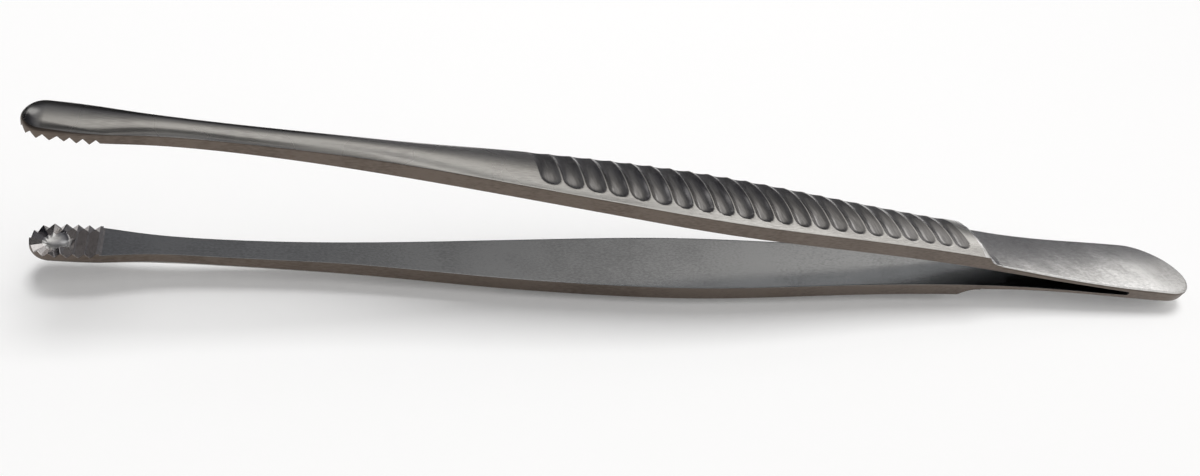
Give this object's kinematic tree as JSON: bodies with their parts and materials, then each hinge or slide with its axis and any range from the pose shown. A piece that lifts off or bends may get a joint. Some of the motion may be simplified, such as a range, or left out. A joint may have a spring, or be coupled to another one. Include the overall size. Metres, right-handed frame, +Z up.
{
  "type": "thumb forceps",
  "caption": "Steel thumb forceps: two springy arms joined at a broad heel, with fluted grips and toothed cup jaws that hold tissue.",
  "frame": {"origin": "centre of the bounding box at table height, with the forceps lying on the lower grip", "axes": "+X along the forceps from the jaws to the heel, -Y towards the viewer's side, +Z up"},
  "size_m": [0.2004, 0.0122, 0.0309],
  "materials": {
    "steel": "satin"
  },
  "bodies": {
    "root": {"upper_arm": "steel", "lower_arm": "steel"}
  },
  "joints": []
}
